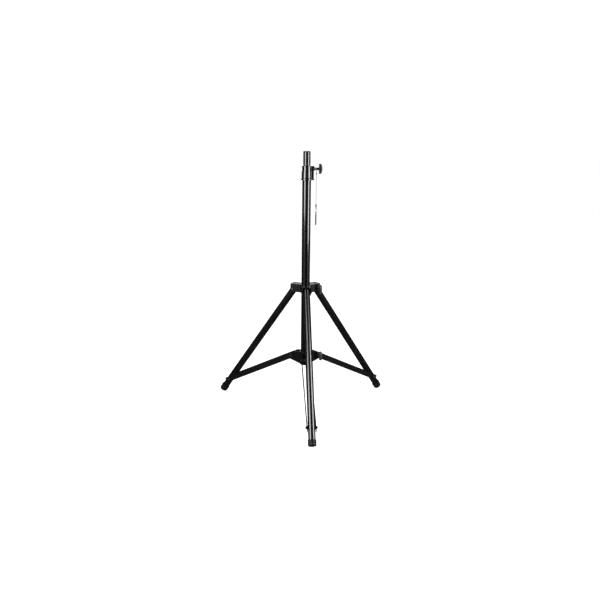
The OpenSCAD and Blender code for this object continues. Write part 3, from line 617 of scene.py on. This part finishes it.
# ---- Lower hub ----
# A steel sleeve that slides on the tube on two flanged nylon bushes. Three pairs of sloped lugs are
# welded to it for the braces, and it has the upper hub's powder coat.
slide_bottom, slide_top = (1000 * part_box("lower_hub_bushes")[i].z for i in (0, 1))
sleeve_r, rebate_r, rebate = 26.58, 24.08, 1.5
forge("sliding_sleeve", [lathe(eased([
    (rebate_r, slide_bottom), (sleeve_r, slide_bottom), (sleeve_r, slide_top), (rebate_r, slide_top),
    (rebate_r, slide_top - rebate), (sleeve_in, slide_top - rebate), (sleeve_in, slide_bottom + rebate),
    (rebate_r, slide_bottom + rebate), (rebate_r, slide_bottom)], 0.5), columns=96)],
    "lower_hub", powder_black, ["lower_hub_sleeve"])
softened("sliding_bushes", "lower_hub_bushes", "lower_hub", nylon, 0.3)
weld_at = math.sqrt(sleeve_r ** 2 - lug_out ** 2)
beads = []
for arm in ARMS:
    softened(f"brace_lugs_{arm}", f"lower_bracket_{arm}", "lower_hub", powder_black, 0.6)
    for side in (-1, 1):
        corner = (weld_at + 0.3, side * (lug_out + 0.2))
        beads.append(to_arm(weld(corner, slide_bottom + 4, slide_top - 4), arm))
forge("lower_welds", beads, "lower_hub", powder_black, crease=60)

# ---- Legs ----
# Three drawn steel tubes in gloss black. A steel bush is pressed through each for its pivot, and a
# tapered nylon plug closes its upper end so that it clears the hub's top plate when it folds.
leg_r, leg_bore = 17.5, 16.0
leg_top = -14.0
leg_slope = math.radians(34.8)
leg_black = finish("leg_enamel", (0.0034, 0.0036, 0.0038), 0.17, 260, 0.00001,
                   spread=0.045, cloud=12.0, IOR=1.70, Coat_Weight=0.3, Coat_Roughness=0.11)


def down_leg(points):
    """Points drawn round Z from the pivot, laid along the leg: Z becomes the way out and down."""
    c, s = math.cos(leg_slope), math.sin(leg_slope)
    return np.stack([leg_pivot[0] - points[..., 0] * c + points[..., 2] * s, points[..., 1],
                     leg_pivot[1] - points[..., 0] * s - points[..., 2] * c], axis=-1)


leg_end = 743.81
for arm in ARMS:
    tube = bored_tube(leg_r, leg_bore, leg_top, leg_end, [(0, 90, 6.5), (0, 270, 6.5)], cells=20)
    tube = [(to_arm(down_leg(shell[0]), arm), shell[1]) if isinstance(shell, tuple)
            else to_arm(down_leg(shell), arm) for shell in tube]
    forge(f"leg_{arm}", tube, f"leg_{arm}", leg_black, [f"leg_tube_{arm}"])
    cap = lathe(eased([(0, leg_top - 3), (leg_r - 3, leg_top - 3), (leg_r, leg_top), (leg_bore, leg_top),
                       (leg_bore, leg_top + 4), (0, leg_top + 4)], 0.5))
    forge(f"leg_cap_{arm}", [to_arm(down_leg(cap), arm)], f"leg_{arm}", nylon,
          [f"leg_plug_{arm}"])
    half = cheek_in - 0.5
    bush = lathe(eased([(bolt_r + 0.05, -half), (6.5, -half), (6.5, half), (bolt_r + 0.05, half),
                        (bolt_r + 0.05, -half)], 0.3), (leg_pivot[0], 0, leg_pivot[1]), (0, 1, 0), 48)
    forge(f"leg_pivot_bush_{arm}", [to_arm(bush, arm)], f"leg_{arm}", zinc,
          [f"leg_bush_{arm}"])

# ---- Feet ----
# Moulded black rubber cups pushed over the legs' ends, with a raised rim, three shallow grip lines
# and a round end that has worn flat where it meets the floor.
rubber = finish("foot_rubber", (0.005, 0.005, 0.0053), 0.36, 800, 0.00016, spread=0.08, cloud=45.0, IOR=1.5)
foot_r, foot_rim = 20.0, 20.8
foot_top, foot_end, foot_round = 721.31, 751.31, 6.0
bend = np.linspace(0, math.pi / 2, 12)
foot_lines = [(foot_r - depth, foot_top + 7.5 + 4 * i + step) for i in range(3)
              for depth, step in ((0, 0), (0.35, 0.4), (0.35, 1.0), (0, 1.4))]
foot_outline = [
    (0, leg_end), (leg_r, leg_end), (leg_r, foot_top), (foot_rim - 0.5, foot_top), (foot_rim, foot_top + 0.5),
    (foot_rim, foot_top + 3.5), (foot_rim - 0.5, foot_top + 4), (foot_r, foot_top + 4), *foot_lines,
    *[(foot_r - foot_round + foot_round * math.cos(a), foot_end - foot_round + foot_round * math.sin(a))
      for a in bend], (5.0, foot_end), (0, foot_end)]
for arm in ARMS:
    cup = to_arm(down_leg(lathe(foot_outline, columns=96)), arm)
    cup[..., 2] = np.maximum(cup[..., 2], 0)
    forge(f"rubber_foot_{arm}", [cup], f"leg_{arm}", rubber, [f"foot_{arm}"], 50)

# ---- Braces ----
# Each leg has a pair of flat steel bars from the sliding hub, cropped at their outer corners. A
# shouldered rivet with a domed cap holds each bar to its side of the leg.
bar_black = finish("bar_paint", (0.0045, 0.0046, 0.0049), 0.30, 500, 0.00004,
                   cloud=16.0, IOR=1.42, bare=(0.10, 0.10, 0.105))
dark_zinc = finish("rivet_zinc", (0.05, 0.051, 0.053), 0.40, 900, 0.00003, cloud=90.0, Metallic=0.95)
joint = (440.3, 79.2)
for arm in ARMS:
    for bar in ("a", "b"):
        softened(f"bar_{arm}_{bar}", f"brace_bar_{arm}_{bar}", f"brace_{arm}", bar_black, 0.5)
    rivets = []
    for side in (-1, 1):
        rise = np.linspace(0, math.pi / 2, 12)
        dome = [(5.9 * math.cos(a), bar_out + 3.8 + 3.2 * math.sin(a)) for a in rise]
        outline = [(0, leg_r + 0.3), (7.6, leg_r + 0.3), (8, leg_r + 0.7), (8, bar_in), (bolt_r, bar_in),
                   (bolt_r, bar_out), (7.7, bar_out), (8, bar_out + 0.3), (8, bar_out + 0.8),
                   (7.7, bar_out + 1), (0, bar_out + 1)]
        cap = [(0, bar_out + 0.6), (7.0, bar_out + 0.6), (7.4, bar_out + 1.2),
               (7.4, bar_out + 3.2), (6.5, bar_out + 3.8), *dome]
        rivets.append(lathe(outline, (joint[0], 0, joint[1]), (0, side, 0), 56))
        rivets.append(lathe(cap, (joint[0], 0, joint[1]), (0, side, 0), 72, 6))
    forge(f"brace_pins_{arm}", [to_arm(shell, arm) for shell in rivets], f"brace_{arm}",
          dark_zinc, [f"brace_rivets_{arm}"])
